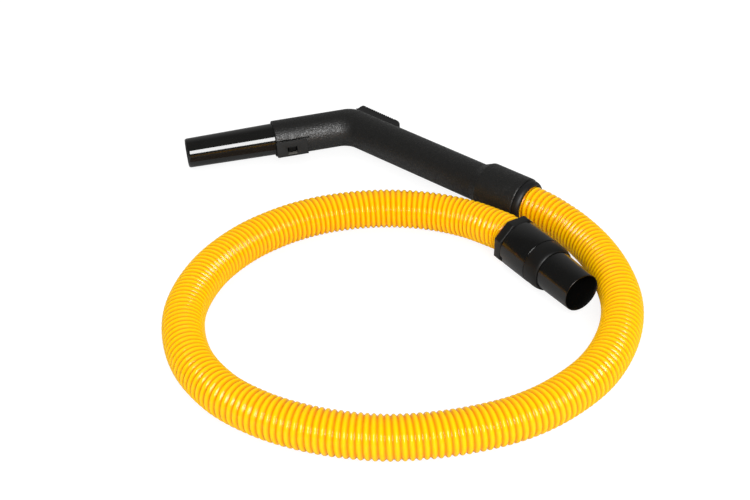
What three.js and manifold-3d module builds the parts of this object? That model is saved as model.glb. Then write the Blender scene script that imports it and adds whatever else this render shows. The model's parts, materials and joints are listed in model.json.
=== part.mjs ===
// Suction hose set: a bent hand tube with a bleed-air slider and a push-in end pipe,
// a corrugated hose lying in one loop, and a machine cuff that swivels on its nut.
import * as THREE from "three";
import { mergeVertices } from "three/addons/utils/BufferGeometryUtils.js";
import Module from "manifold-3d";

const wasm = await Module();
wasm.setup();

// ---- Driving dimensions, in millimetres and degrees ----

const clearance = 0.3; // between every two pieces that touch
const facets = 36; // sides of a round piece
const past = 1; // how far a cutter reaches past what it cuts
const edgeRound = 0.5; // small broken edges

// Hose
const hoseRadius = 20;
const hoseWall = 2;
const hoseGrip = 28; // how far the hose is screwed into each fitting
const hoseSides = 12;
const hoseSteps = 64; // along the route

// Swivels: the same bush, snap ring and seal at both ends
const hoseFit = 0.35; // round the hose in its fittings
const bushWall = 2.25;
const snapDepth = 1.1; // groove depth in the bush and in its socket
const snapWidth = 1.6;
const snapOpening = 3;
const snapSetback = 11.5; // from the mouth of its socket
const sealThickness = 1.9;
const endRingLength = 7.6;
const endRingStep = 1.25; // the ring's surface below the cup's
const endRingRound = 5;
const bushLap = 3; // how far the bush reaches into the end ring

// Push-in end pipe
const pipeVisible = 98.7;
const pipeInserted = 38;
const pipeRadius = 17.8;
const pipeTaper = 1.4; // how much smaller its radius is at the tip
const pipeWall = 2;
const pipeSealSetback = 28.5; // from the mouth of the socket to the middle of its seal
const pipeSealDepth = 1.2;
const pipeSealWidth = 2.4;

// Hand tube
const socketWall = 2.4;
const gripWall = 3;
const gripLength = 185; // elbow to the foot of the ramp
const rampLength = 10;
const cupLength = 48;
const cupWall = 2.85;
const cupFloor = 2; // from the top of the ramp to the cup's seat
const armLength = 90.3; // elbow to the mouth of the socket
const armStop = 1.3; // the step that the end pipe stops at
const bendAngle = 54.6;
const edgeChamfer = 1;

// Snap catch in the socket's side
const housingLength = 35;
const housingRise = 6.6; // its flush edge above the arm's axis
const housingDrop = 9.4; // its proud edge below the arm's axis
const housingProud = 5.7; // the proud edge above the socket's surface
const windowLength = 11;
const windowWidth = 7.6;
const windowSetback = 11.9; // from the mouth of the socket
const windowDrop = 3.7; // the window's middle below the arm's axis
const housingLip = 0.8; // its flush edge above the socket's surface
const catchRecess = 4.5; // the button's face below the housing's proud edge
const catchTravel = 3.5;
const catchSlack = 0.5; // round the button in the pipe's wall and in the socket's
const catchFlange = 1.3;
const flangeLap = 1; // how far the flange reaches past the button
const leafThickness = 0.5;
const leafWidth = 6;
const leafSetback = 0.75; // the leaf's fixed end below the pipe's bore
const leafRise = 3.45; // between the leaf's fixed end and its free end
const rivetRadius = 1;
const rivetHead = 0.8;
const rivetSetback = 5; // from the pipe's inner end

// Bleed-air slider
const sliderStart = -6.5; // from the elbow
const sliderLength = 62;
const sliderWidth = 24;
const sliderProud = 8.6; // its front above the grip's surface
const sliderFall = 1.2; // how much lower its rear is
const sliderRound = 11; // its rear end
const sliderSlope = 1; // its front end
const sliderFoot = 6.6; // height of the slope's foot above the grip
const ridgePitch = 3.4;
const ridgeGap = 1.3;
const ridgeDepth = 0.7;
const sliderTravel = 18;
const stemStart = 24; // from the elbow
const stemLength = 6;
const stemWidth = 6;
const stemSlack = 1;
const portStart = 4; // from the elbow
const portLength = 9;
const portWidth = 9;
const shoeLength = 22;
const shoeWidth = 12;
const shoeThickness = 2;
const rubLength = 7; // the friction spring beside the stem
const rubWidth = 5;
const rubThickness = 0.25;
const rubGap = 0.15; // under the shoe's face

// Machine cuff
const nutLand = 2.1; // from the swivel's bore to the nut's flats
const nutLength = 9.8;
const bodyLength = 36.4;
const bodyRearWall = 2.3;
const bodyFrontWall = 1.6;
const collarLength = 17.6;
const tubeLength = 42.4; // in front of the collar
const tubeRadius = 20.9;
const tubeMouthRadius = 19.6;
const tubeWall = 2.2;
const tubeFlange = 2.5;
const collarShoulder = 7; // full width before its rounded end
const collarStep = 0.3; // below the body's surface
const collarLip = 0.6; // above the tube at its rounded end
const cuffSleeve = 37; // the nut's threaded sleeve, with the nut

// ---- Radii that follow from them ----

const bushBore = hoseRadius + hoseFit;
const bushRadius = bushBore + bushWall;
const bushStopBore = hoseRadius - hoseWall;
const swivelBore = bushRadius + clearance;
const cupRadius = swivelBore + cupWall;
const endRingRadius = cupRadius - endRingStep;
const nutAcrossFlats = 2 * (swivelBore + nutLand);
const bodyRearRadius = swivelBore + bodyRearWall;
const bodyFrontRadius = swivelBore + bodyFrontWall;
const pipeTipRadius = pipeRadius - pipeTaper;
const pipeBore = pipeRadius - pipeWall;
const socketBore = pipeRadius + clearance;
const gripRadius = socketBore + socketWall;
const gripBore = gripRadius - gripWall;
const armBore = pipeRadius - armStop;

// Where the pieces lie, seen from above: yaw is from +X, and the hose leaves the hand tube at 0, 0.
const tailYaw = -40.9;
const cuffYaw = -58;
const cuffStart = [-22.3, -62.5];

// ---- Modelling helpers ----

const rad = THREE.MathUtils.degToRad;

// A closed geometry as a solid that can be joined and cut.
function solid(geometry) {
  const bare = geometry.clone();
  bare.deleteAttribute("normal");
  bare.deleteAttribute("uv");
  const merged = mergeVertices(bare, 1e-4);
  return new wasm.Manifold(
    new wasm.Mesh({
      numProp: 3,
      vertProperties: merged.attributes.position.array,
      triVerts: new Uint32Array(merged.index.array),
    }),
  );
}

function geometryOf(body) {
  const { vertProperties, triVerts } = body.getMesh();
  const geometry = new THREE.BufferGeometry();
  geometry.setAttribute("position", new THREE.BufferAttribute(vertProperties, 3));
  geometry.setIndex(new THREE.BufferAttribute(triVerts, 1));
  geometry.computeVertexNormals();
  return geometry;
}

const joined = (...geometries) =>
  geometryOf(geometries.map(solid).reduce((whole, next) => whole.add(next)));

const cutBy = (geometry, ...tools) =>
  geometryOf(tools.map(solid).reduce((whole, tool) => whole.subtract(tool), solid(geometry)));

const common = (first, second) => geometryOf(solid(first).intersect(solid(second)));

// A piece turned about the X axis from [along, radius] points.
// A profile that leaves the axis out is a ring and is closed here.
function turned(profile, sides = facets) {
  const points = profile.map(([along, radius]) => new THREE.Vector2(radius, along));
  if (THREE.ShapeUtils.area(points) < 0) points.reverse();
  if (points[0].x > 0 || points.at(-1).x > 0) points.push(points[0].clone());
  return new THREE.LatheGeometry(points, sides).rotateZ(-Math.PI / 2);
}

const rod = (from, to, radius) =>
  turned([[from, 0], [from, radius], [to, radius], [to, 0]]);

const ring = (from, to, inner, outer) =>
  turned([[from, inner], [from, outer], [to, outer], [to, inner]]);

const box = (x, y, z) =>
  new THREE.BoxGeometry(x[1] - x[0], y[1] - y[0], z[1] - z[0]).translate(
    (x[0] + x[1]) / 2,
    (y[0] + y[1]) / 2,
    (z[0] + z[1]) / 2,
  );

const around = (middle, width) => [middle - width / 2, middle + width / 2];

// An outline in Y and Z drawn out along X.
function drawnOut(outline, from, to) {
  const shape = new THREE.Shape(outline.map(([y, z]) => new THREE.Vector2(y, z)));
  const geometry = new THREE.ExtrudeGeometry(shape, { depth: to - from, bevelEnabled: false });
  const axes = new THREE.Matrix4().makeBasis(
    new THREE.Vector3(0, 1, 0),
    new THREE.Vector3(0, 0, 1),
    new THREE.Vector3(1, 0, 0),
  );
  return geometry.applyMatrix4(axes).translate(from, 0, 0);
}

// A bar's outline: flat on the low side of Y, with its two high corners cut off.
const chamferedBar = (low, high, halfWidth, chamfer) => [
  [low, -halfWidth],
  [high - chamfer, -halfWidth],
  [high, chamfer - halfWidth],
  [high, halfWidth - chamfer],
  [high - chamfer, halfWidth],
  [low, halfWidth],
];

// ---- Materials ----

const finish = (color, roughness, metalness = 0) =>
  new THREE.MeshStandardMaterial({ color, roughness, metalness });

const grainedBlack = finish(0x232323, 0.62);
const glossBlack = finish(0x0c0c0d, 0.12);
const satinBlack = finish(0x1c1c1e, 0.38);
const matteBlack = finish(0x161616, 0.7);
const hoseYellow = finish(0xffc60a, 0.42);
const rubber = finish(0x101010, 0.85);
const acetal = finish(0xe6e2d6, 0.4);
const steel = finish(0xb4b6b8, 0.3, 1);

function addPiece(group, name, geometry, material) {
  const mesh = new THREE.Mesh(geometry, material);
  mesh.name = name;
  group.add(mesh);
}

// ---- Swivel parts, the same at both ends ----

// An open spring ring half in the bush and half in its socket.
function snapRing(middle) {
  const inner = bushRadius - snapDepth + clearance;
  const outer = swivelBore + snapDepth - clearance;
  const [from, to] = around(middle, snapWidth);
  const opening = box([from - past, to + past], [0, outer + past], around(0, snapOpening));
  return cutBy(ring(from, to, inner, outer), opening);
}

const snapGrooveInBush = (middle) => {
  const [from, to] = around(middle, snapWidth + 2 * clearance);
  return ring(from, to, bushRadius - snapDepth, bushRadius + past);
};

const snapGrooveInSocket = (middle) => {
  const [from, to] = around(middle, snapWidth + 2 * clearance);
  return ring(from, to, swivelBore - past, swivelBore + snapDepth);
};

// ---- Places along the hand tube, from the elbow ----

const rampEnd = gripLength + rampLength;
const cupEnd = rampEnd + cupLength;
const endRingStart = cupEnd + clearance;
const tailLength = endRingStart + endRingLength;
const hoseStop = tailLength - hoseGrip; // where the hose ends inside its bush
const cupSeat = rampEnd + cupFloor; // the bottom of the cup
const bushStart = cupSeat + sealThickness + 2 * clearance;
const tailSnap = cupEnd - snapSetback;
const pipeEnd = armLength - pipeInserted;
const pipeTip = armLength + pipeVisible;
const pipeSealSeat = armLength - pipeSealSetback;
const windowMiddle = armLength - windowSetback - windowLength / 2;

// Turns a geometry made along +X so that it points along the front arm.
const armTurn = Math.PI + rad(bendAngle);
const onArm = (geometry) => geometry.rotateZ(armTurn);

// ---- Hand tube: socket, elbow, grip and hose cup in one moulding ----

function handTube() {
  const tail = turned([
    [0, 0],
    [0, gripRadius],
    [gripLength, gripRadius],
    [rampEnd, cupRadius],
    [cupEnd - edgeChamfer, cupRadius],
    [cupEnd, cupRadius - edgeChamfer],
    [cupEnd, 0],
  ]);
  const arm = turned([
    [0, 0],
    [0, gripRadius],
    [armLength - edgeChamfer, gripRadius],
    [armLength, gripRadius - edgeChamfer],
    [armLength, 0],
  ]);
  const elbow = new THREE.SphereGeometry(gripRadius, facets, facets / 2);
  const duct = joined(
    rod(0, cupEnd, gripBore),
    onArm(rod(0, armLength, armBore)),
    new THREE.SphereGeometry(armBore, facets, facets / 2),
  );
  const socket = onArm(rod(pipeEnd - clearance, armLength + past, socketBore));
  const throughWall = [armBore / 2, gripRadius + past];
  const catchHole = onArm(
    box(
      around(windowMiddle, windowLength + 2 * catchSlack),
      throughWall,
      around(-windowDrop, windowWidth + 2 * catchSlack),
    ),
  );
  const bleedPort = box(
    [portStart, portStart + portLength],
    throughWall,
    around(0, portWidth),
  );
  const stemSlot = box(
    [stemStart - stemSlack, stemStart + stemLength + sliderTravel + stemSlack],
    throughWall,
    around(0, stemWidth + stemSlack),
  );
  return cutBy(
    joined(tail, onArm(arm), elbow),
    duct,
    socket,
    rod(cupSeat, cupEnd + past, swivelBore),
    snapGrooveInSocket(tailSnap),
    catchHole,
    bleedPort,
    stemSlot,
  );
}

// ---- Push-in end pipe with its seal and snap catch, in the arm's own frame ----

const leafOuter = pipeBore - leafSetback; // the leaf's fixed end, under the pipe's wall
const leafInner = leafOuter - leafRise; // the leaf's free end, under the button's flange
const flangeInner = leafInner + clearance;
const flangeOuter = flangeInner + catchFlange;
const buttonFace = gripRadius + housingProud - catchRecess;
const buttonLength = windowLength - 2.4;
const buttonWidth = windowWidth - 1.6;
const rivetPlace = pipeEnd + rivetSetback;

function endPipe() {
  const wall = turned([
    [pipeEnd, pipeBore],
    [pipeEnd, pipeRadius],
    [armLength, pipeRadius],
    [pipeTip - edgeRound, pipeTipRadius],
    [pipeTip, pipeTipRadius - edgeRound],
    [pipeTip, pipeTipRadius - pipeWall],
    [armLength, pipeBore],
  ]);
  const [sealFrom, sealTo] = around(pipeSealSeat, pipeSealWidth + 2 * clearance);
  const sealGroove = ring(sealFrom, sealTo, pipeRadius - pipeSealDepth, pipeRadius + past);
  const buttonHole = box(
    around(windowMiddle, buttonLength + 2 * catchSlack),
    [pipeBore / 2, pipeRadius + past],
    around(-windowDrop, buttonWidth + 2 * catchSlack),
  );
  const rivetHole = rod(pipeBore / 2, pipeRadius + past, rivetRadius + clearance)
    .rotateZ(Math.PI / 2)
    .translate(rivetPlace, 0, 0);
  return cutBy(wall, sealGroove, buttonHole, rivetHole);
}

function pipeSeal() {
  const [from, to] = around(pipeSealSeat, pipeSealWidth);
  const inner = pipeRadius - pipeSealDepth + clearance;
  const outer = socketBore - clearance / 2;
  const middle = (inner + outer) / 2;
  return turned([
    [from, middle],
    [from + edgeRound, outer],
    [to - edgeRound, outer],
    [to, middle],
    [to - edgeRound, inner],
    [from + edgeRound, inner],
  ]);
}

// Its flat face leans: one long edge is flush with the socket and the other stands proud.
function latchHousing() {
  const socketOutside = gripRadius + clearance;
  const low = gripRadius - housingProud;
  const proud = gripRadius + housingProud;
  const flush = Math.sqrt(socketOutside ** 2 - housingRise ** 2) + housingLip;
  const outline = [
    [low, -housingDrop],
    [proud - edgeChamfer, -housingDrop],
    [proud, edgeChamfer - housingDrop],
    [flush, housingRise],
    [low, housingRise],
  ];
  const block = drawnOut(outline, armLength - housingLength, armLength);
  const window = box(
    around(windowMiddle, windowLength),
    [low - past, proud + past],
    around(-windowDrop, windowWidth),
  );
  return cutBy(
    block,
    rod(armLength - housingLength - past, armLength + past, socketOutside),
    window,
  );
}

const catchButton = () =>
  joined(
    box(
      around(windowMiddle, buttonLength),
      [flangeInner, buttonFace],
      around(-windowDrop, buttonWidth),
    ),
    box(
      around(windowMiddle, buttonLength + 2 * flangeLap),
      [flangeInner, flangeOuter],
      around(-windowDrop, buttonWidth + 2 * flangeLap),
    ),
  );

// A bent strip: its free end lies under the button and its fixed end under the pipe's wall.
function catchSpring() {
  const freeEnd = windowMiddle + buttonLength / 2;
  const bendStart = windowMiddle - buttonLength / 2 - flangeLap;
  const bendEnd = rivetPlace + rivetRadius + 2;
  const fixedEnd = rivetPlace - rivetSetback + past;
  const outline = new THREE.Shape();
  outline.moveTo(fixedEnd, leafOuter - leafThickness);
  outline.lineTo(bendEnd, leafOuter - leafThickness);
  outline.lineTo(bendStart, leafInner - leafThickness);
  outline.lineTo(freeEnd, leafInner - leafThickness);
  outline.lineTo(freeEnd, leafInner);
  outline.lineTo(bendStart + leafThickness / 2, leafInner);
  outline.lineTo(bendEnd + leafThickness / 2, leafOuter);
  outline.lineTo(fixedEnd, leafOuter);
  const strip = new THREE.ExtrudeGeometry(outline, { depth: leafWidth, bevelEnabled: false });
  const rivetHole = rod(leafInner, leafOuter + past, rivetRadius + clearance)
    .rotateZ(Math.PI / 2)
    .translate(rivetPlace, 0, 0);
  return cutBy(strip.translate(0, 0, -leafWidth / 2), rivetHole);
}

function springRivet() {
  const headTop = leafOuter - leafThickness - clearance;
  const shankEnd = pipeRadius - clearance;
  const rivet = turned(
    [
      [headTop - rivetHead, 0],
      [headTop - rivetHead, 1.5 * rivetRadius],
      [headTop, 2 * rivetRadius],
      [headTop, rivetRadius],
      [shankEnd, rivetRadius],
      [shankEnd, 0],
    ],
    facets / 2,
  );
  return rivet.rotateZ(Math.PI / 2).translate(rivetPlace, 0, 0);
}

// ---- Bleed-air slider, its shoe inside the grip and its friction spring ----

const sliderTop = gripRadius + sliderProud;
const sliderEnd = sliderStart + sliderLength;
const shoeHigh = Math.sqrt(gripBore ** 2 - (shoeWidth / 2) ** 2) - clearance;

function regulatorSlider() {
  const low = gripRadius - sliderProud;
  const side = new THREE.Shape();
  side.moveTo(sliderStart, low);
  side.lineTo(sliderStart, gripRadius + sliderFoot);
  side.lineTo(sliderStart + sliderSlope, sliderTop);
  side.lineTo(sliderEnd - sliderRound, sliderTop - sliderFall);
  side.quadraticCurveTo(sliderEnd, sliderTop - sliderFall, sliderEnd, gripRadius);
  side.lineTo(sliderEnd, low);
  const slab = new THREE.ExtrudeGeometry(side, {
    depth: sliderWidth,
    bevelEnabled: false,
    curveSegments: 8,
  }).translate(0, 0, -sliderWidth / 2);
  const section = chamferedBar(low - past, sliderTop + past, sliderWidth / 2, 2.6);
  const saddle = cutBy(
    common(slab, drawnOut(section, sliderStart - past, sliderEnd + past)),
    rod(sliderStart - past, sliderEnd + past, gripRadius + clearance),
  );
  const fallAt = (x) => (sliderFall * (x - sliderStart)) / sliderLength;
  const ridges = [];
  const ridged = [sliderStart + 2 * ridgePitch, sliderEnd - sliderRound - ridgePitch];
  for (let x = ridged[0]; x < ridged[1]; x += ridgePitch)
    ridges.push(
      box(
        [x, x + ridgeGap],
        [sliderTop - fallAt(x) - ridgeDepth, sliderTop + past],
        around(0, sliderWidth - 2 * ridgePitch),
      ),
    );
  const stem = box(
    [stemStart, stemStart + stemLength],
    [shoeHigh + clearance, (gripRadius + sliderTop) / 2],
    around(0, stemWidth),
  );
  return joined(cutBy(saddle, ...ridges), stem);
}

function regulatorShoe() {
  const from = stemStart + stemLength / 2 - shoeLength / 2;
  const outline = chamferedBar(-shoeHigh, shoeThickness - shoeHigh, shoeWidth / 2, edgeRound);
  return drawnOut(outline, from, from + shoeLength).rotateX(Math.PI);
}

// A thin bowed strip beside the stem that rubs on the wall and holds the slider where it is put.
function regulatorSpring() {
  const from = stemStart + stemLength + stemSlack;
  const low = shoeHigh + rubGap;
  const bow = new THREE.Shape();
  bow.moveTo(from, low);
  bow.lineTo(from + rubLength, low);
  bow.lineTo(from + rubLength, low + rubThickness);
  bow.lineTo(from + rubLength / 2, low + 2 * rubThickness);
  bow.lineTo(from, low + rubThickness);
  const strip = new THREE.ExtrudeGeometry(bow, { depth: rubWidth, bevelEnabled: false });
  return strip.translate(0, 0, -rubWidth / 2);
}

// ---- Hand end of the hose: seal, bush, snap ring and end ring, from the elbow ----

function swivelBush() {
  const bushEnd = endRingStart + bushLap;
  const sleeve = turned([
    [bushStart, bushStopBore],
    [bushStart, bushRadius],
    [bushEnd, bushRadius],
    [bushEnd, bushBore],
    [hoseStop - clearance, bushBore],
    [hoseStop - clearance, bushStopBore],
  ]);
  return cutBy(sleeve, snapGrooveInBush(tailSnap));
}

// A quarter of an ellipse from [from, high] to [to, low], as points of a turned profile.
function roundedDown(from, to, high, low, steps = 6) {
  const points = [];
  for (let i = 0; i <= steps; i++) {
    const turn = (i / steps) * (Math.PI / 2);
    points.push([from + (to - from) * Math.sin(turn), low + (high - low) * Math.cos(turn)]);
  }
  return points;
}

function endRing() {
  const mouth = endRingRadius - 0.8 * endRingRound;
  const step = endRingStart + bushLap + clearance;
  return turned([
    [endRingStart, bushRadius + clearance],
    [endRingStart, endRingRadius - edgeRound],
    [endRingStart + edgeRound, endRingRadius],
    ...roundedDown(tailLength - endRingRound, tailLength, endRingRadius, mouth),
    [tailLength, bushBore],
    [step, bushBore],
    [step, bushRadius + clearance],
  ]);
}

// ---- Hose: a plain tube along its route, measured from where it leaves the hand tube ----

const tailDirection = [Math.cos(rad(tailYaw)), Math.sin(rad(tailYaw))];
const cuffDirection = [Math.cos(rad(cuffYaw)), Math.sin(rad(cuffYaw))];

// Each place is X, Y and how far the hose's underside is above the floor.
const inLine = (start, direction, distance, lift) => [
  start[0] + distance * direction[0],
  start[1] + distance * direction[1],
  lift,
];
const cupLift = cupRadius - hoseRadius;
const cuffLift = nutAcrossFlats / 2 - hoseRadius;

const hoseRoute = [
  inLine([0, 0], tailDirection, -hoseGrip, cupLift),
  inLine([0, 0], tailDirection, -hoseGrip / 2, cupLift),
  inLine([0, 0], tailDirection, 0, cupLift),
  inLine([0, 0], tailDirection, 14, 5.5),
  [23.5, -21.8, 4],
  [40, -41, 1.4],
  [57.5, -74.5, 0.1],
  [69, -118, 0],
  [71.5, -166, 0],
  [60.5, -214, 0],
  [35, -262, 0],
  [-1.5, -299, 0],
  [-36, -321.5, 0],
  [-72, -335.5, 0],
  [-111, -344.5, 0],
  [-154, -348, 0],
  [-197, -342.5, 0],
  [-232, -332, 0],
  [-263, -317, 0],
  [-297, -291, 0],
  [-328, -245, 0],
  [-341, -180, 0],
  [-326, -114, 0],
  [-295, -65, 0],
  [-259, -33, 0],
  [-225, -14, 0],
  [-194, -4, 0],
  [-167, 0.5, 0],
  [-141, 1.2, 0],
  [-116, -1.5, 0],
  [-91, -8, 0.2],
  [-65, -21, 1.5],
  [-44, -38, 3.5],
  inLine(cuffStart, cuffDirection, -12, 4.8),
  inLine(cuffStart, cuffDirection, 0, cuffLift),
  inLine(cuffStart, cuffDirection, hoseGrip / 2, cuffLift),
  inLine(cuffStart, cuffDirection, hoseGrip, cuffLift),
];

function hose() {
  const route = new THREE.CatmullRomCurve3(
    hoseRoute.map(([x, y, lift]) => new THREE.Vector3(x, y, hoseRadius + lift)),
    false,
    "centripetal",
  );
  const corners = (radius) =>
    Array.from({ length: hoseSides }, (_, i) => {
      const turn = (i / hoseSides) * 2 * Math.PI;
      return new THREE.Vector2(radius * Math.cos(turn), radius * Math.sin(turn));
    });
  const section = new THREE.Shape(corners(hoseRadius));
  section.holes.push(new THREE.Path(corners(hoseRadius - hoseWall)));
  return new THREE.ExtrudeGeometry(section, { steps: hoseSteps, extrudePath: route });
}

// ---- Machine cuff, from the nut's outer face ----

const bodyStart = nutLength + clearance;
const bodyEnd = bodyStart + bodyLength;
const collarStart = bodyEnd + clearance;
const collarEnd = collarStart + collarLength;
const tubeEnd = collarEnd + tubeLength;
const cuffSnap = bodyStart + snapSetback;
const tubeStart = cuffSleeve + sealThickness + 2 * clearance;

// The hose screws into the nut's sleeve, and the cuff body turns on it.
function hoseNut() {
  const cornerRadius = nutAcrossFlats / 2 / Math.cos(Math.PI / 8);
  const octagon = new THREE.CylinderGeometry(cornerRadius, cornerRadius, nutLength, 8)
    .rotateY(Math.PI / 8)
    .rotateZ(-Math.PI / 2)
    .translate(nutLength / 2, 0, 0);
  return cutBy(
    joined(octagon, rod(nutLength / 2, cuffSleeve, bushRadius)),
    rod(-past, hoseGrip + clearance, bushBore),
    rod(hoseGrip - past, cuffSleeve + past, bushStopBore),
    snapGrooveInBush(cuffSnap),
  );
}

function cuffBody() {
  const shell = turned([
    [bodyStart, swivelBore],
    [bodyStart, bodyRearRadius - edgeRound],
    [bodyStart + edgeRound, bodyRearRadius],
    [bodyEnd - edgeRound, bodyFrontRadius],
    [bodyEnd, bodyFrontRadius - edgeRound],
    [bodyEnd, swivelBore],
  ]);
  return cutBy(shell, snapGrooveInSocket(cuffSnap));
}

// A soft shoulder: full width at the body, rounded down to the tube.
function cuffCollar() {
  const high = bodyFrontRadius - collarStep;
  const low = tubeRadius + collarLip;
  return turned([
    [collarStart, tubeRadius + clearance],
    [collarStart, high - edgeRound],
    [collarStart + edgeRound, high],
    ...roundedDown(collarStart + collarShoulder, collarEnd, high, low),
    [collarEnd, tubeRadius + clearance],
  ]);
}

const cuffTube = () =>
  turned([
    [tubeStart, tubeRadius - tubeWall],
    [tubeStart, bushRadius],
    [tubeStart + tubeFlange, bushRadius],
    [tubeStart + tubeFlange, tubeRadius],
    [collarEnd, tubeRadius],
    [tubeEnd - edgeRound, tubeMouthRadius],
    [tubeEnd, tubeMouthRadius - edgeRound],
    [tubeEnd, tubeMouthRadius - tubeWall],
    [collarEnd, tubeRadius - tubeWall],
  ]);

// ---- Assembly ----

const laidOut = new THREE.Group();

const tail = new THREE.Group();
tail.position.z = cupRadius;
tail.rotation.z = rad(tailYaw);
laidOut.add(tail);

// The hand tube lies on its side: it rolls about its tail until the end pipe's tip is down.
const roll = Math.asin(
  (cupRadius - pipeTipRadius) / (pipeTip * Math.sin(rad(bendAngle))),
);
const hand = new THREE.Group();
hand.rotation.x = roll;
hand.position.x = -tailLength;
tail.add(hand);

const arm = new THREE.Group();
arm.rotation.z = armTurn;
hand.add(arm);

addPiece(hand, "hand_tube", handTube(), grainedBlack);
addPiece(hand, "regulator_slider", regulatorSlider(), matteBlack);
addPiece(hand, "regulator_shoe", regulatorShoe(), acetal);
addPiece(hand, "regulator_spring", regulatorSpring(), steel);
addPiece(hand, "tail_snap_ring", snapRing(tailSnap), acetal);
addPiece(
  hand,
  "tail_seal",
  ring(cupSeat + clearance, cupSeat + clearance + sealThickness, bushStopBore, bushRadius),
  rubber,
);
addPiece(arm, "end_pipe", endPipe(), glossBlack);
addPiece(arm, "end_pipe_seal", pipeSeal(), rubber);
addPiece(arm, "latch_housing", latchHousing(), satinBlack);
addPiece(arm, "catch_button", catchButton(), satinBlack);
addPiece(arm, "catch_spring", catchSpring(), steel);
addPiece(arm, "spring_rivet", springRivet(), steel);

const hoseEnd = new THREE.Group();
hoseEnd.position.x = -tailLength;
tail.add(hoseEnd);
addPiece(hoseEnd, "swivel_bush", swivelBush(), acetal);
addPiece(hoseEnd, "swivel_end_ring", endRing(), glossBlack);

addPiece(laidOut, "hose", hose(), hoseYellow);

const cuff = new THREE.Group();
cuff.position.set(...cuffStart, nutAcrossFlats / 2);
cuff.rotation.z = rad(cuffYaw);
laidOut.add(cuff);
addPiece(cuff, "hose_nut", hoseNut(), satinBlack);
addPiece(cuff, "cuff_body", cuffBody(), satinBlack);
addPiece(cuff, "cuff_collar", cuffCollar(), matteBlack);
addPiece(cuff, "cuff_tube", cuffTube(), satinBlack);
addPiece(cuff, "cuff_snap_ring", snapRing(cuffSnap), acetal);
addPiece(
  cuff,
  "cuff_seal",
  ring(cuffSleeve + clearance, cuffSleeve + clearance + sealThickness, bushStopBore, bushRadius),
  rubber,
);

// The part's origin is on the floor under the middle of the hand tube's box.
laidOut.updateMatrixWorld(true);
const handBox = new THREE.Box3().setFromObject(tail, true);
const middle = handBox.getCenter(new THREE.Vector3());
laidOut.position.set(-middle.x, -middle.y, -handBox.min.z);

const suctionHoseSet = new THREE.Group();
suctionHoseSet.add(laidOut);

export default suctionHoseSet;
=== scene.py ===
import json
import math

import bpy
import numpy as np
from mathutils import Matrix, Vector


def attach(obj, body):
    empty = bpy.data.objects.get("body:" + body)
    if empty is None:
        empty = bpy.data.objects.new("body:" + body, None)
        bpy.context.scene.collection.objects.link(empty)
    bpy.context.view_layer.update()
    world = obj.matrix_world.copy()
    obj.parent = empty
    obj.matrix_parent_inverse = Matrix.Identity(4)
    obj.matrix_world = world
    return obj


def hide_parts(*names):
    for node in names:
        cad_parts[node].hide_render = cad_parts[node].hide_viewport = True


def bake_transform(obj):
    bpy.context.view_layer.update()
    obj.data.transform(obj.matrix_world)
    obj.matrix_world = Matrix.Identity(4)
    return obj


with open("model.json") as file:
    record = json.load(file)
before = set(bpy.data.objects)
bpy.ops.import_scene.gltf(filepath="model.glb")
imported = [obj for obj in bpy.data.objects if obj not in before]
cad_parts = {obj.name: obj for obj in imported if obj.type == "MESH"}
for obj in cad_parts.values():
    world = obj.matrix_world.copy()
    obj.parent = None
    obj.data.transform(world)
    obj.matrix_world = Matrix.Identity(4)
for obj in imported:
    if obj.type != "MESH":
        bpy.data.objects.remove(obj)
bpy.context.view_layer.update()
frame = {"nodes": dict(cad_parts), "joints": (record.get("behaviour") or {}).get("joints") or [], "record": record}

# ---- Studio ----
# The set lies on a white floor in pale light from all round. One large soft lamp stands behind
# the camera and a weaker one hangs above the set. The camera looks down on it from the front.

joints = {joint["name"]: joint for joint in frame["joints"]}
hose_exit = Vector(joints["hand_swivel"]["pos_m"])  # where the hose leaves the hand tube
CAMERA_LEFT, CAMERA_BEFORE = 0.1623, 1.1855  # how far left of the hose's exit and before it
CAMERA_HEIGHT = 0.7979  # metres, as all sizes of the studio are
CAMERA_TILT = 55  # degrees up from straight down
CAMERA_LENS = 64.99
VIEW_DEPTH = 30  # how far it sees

bpy.ops.object.select_all(action="DESELECT")
bpy.ops.object.camera_add(
    location=(hose_exit.x - CAMERA_LEFT, hose_exit.y - CAMERA_BEFORE, CAMERA_HEIGHT),
    rotation=(math.radians(CAMERA_TILT), 0, 0),
)
camera = bpy.context.object
camera.data.lens = CAMERA_LENS
camera.data.clip_end = VIEW_DEPTH
bpy.context.scene.camera = camera
bpy.context.scene.view_settings.view_transform = "Standard"


class Wire:
    """A node's output. Arithmetic on it adds Math nodes, and node() adds any other node."""

    def __init__(self, tree, socket=None):
        self.tree = tree
        self.socket = socket

    def node(self, kind, sockets=(), out=0, **settings):
        """Adds a node: its settings first, then the values or links of its sockets."""
        made = self.tree.nodes.new(f"ShaderNode{kind}")
        for name, value in settings.items():
            setattr(made, name, value)
        for name, value in dict(sockets).items():
            if isinstance(value, Wire):
                self.tree.links.new(value.socket, made.inputs[name])
            else:
                made.inputs[name].default_value = value
        return Wire(self.tree, made.outputs[out])

    def maths(self, operation, first, second):
        return self.node("Math", {0: first, 1: second}, operation=operation)

    def __add__(self, other):
        return self.maths("ADD", self, other)

    def __sub__(self, other):
        return self.maths("SUBTRACT", self, other)

    def __rsub__(self, other):
        return self.maths("SUBTRACT", other, self)

    def __mul__(self, other):
        return self.maths("MULTIPLY", self, other)

    def __pow__(self, other):
        return self.maths("POWER", self, other)

    __radd__ = __add__
    __rmul__ = __mul__

    def between(self, low, high):
        """A colour that goes from low to high as this value goes from 0 to 1."""
        return self.node("Mix", {0: self, 6: low, 7: high}, out=2, data_type="RGBA")

    def ends_in(self, kind):
        """Makes this shader the one that the material or the world shows."""
        output = self.tree.nodes.new(f"ShaderNodeOutput{kind}")
        self.tree.links.new(self.socket, output.inputs["Surface"])


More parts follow.
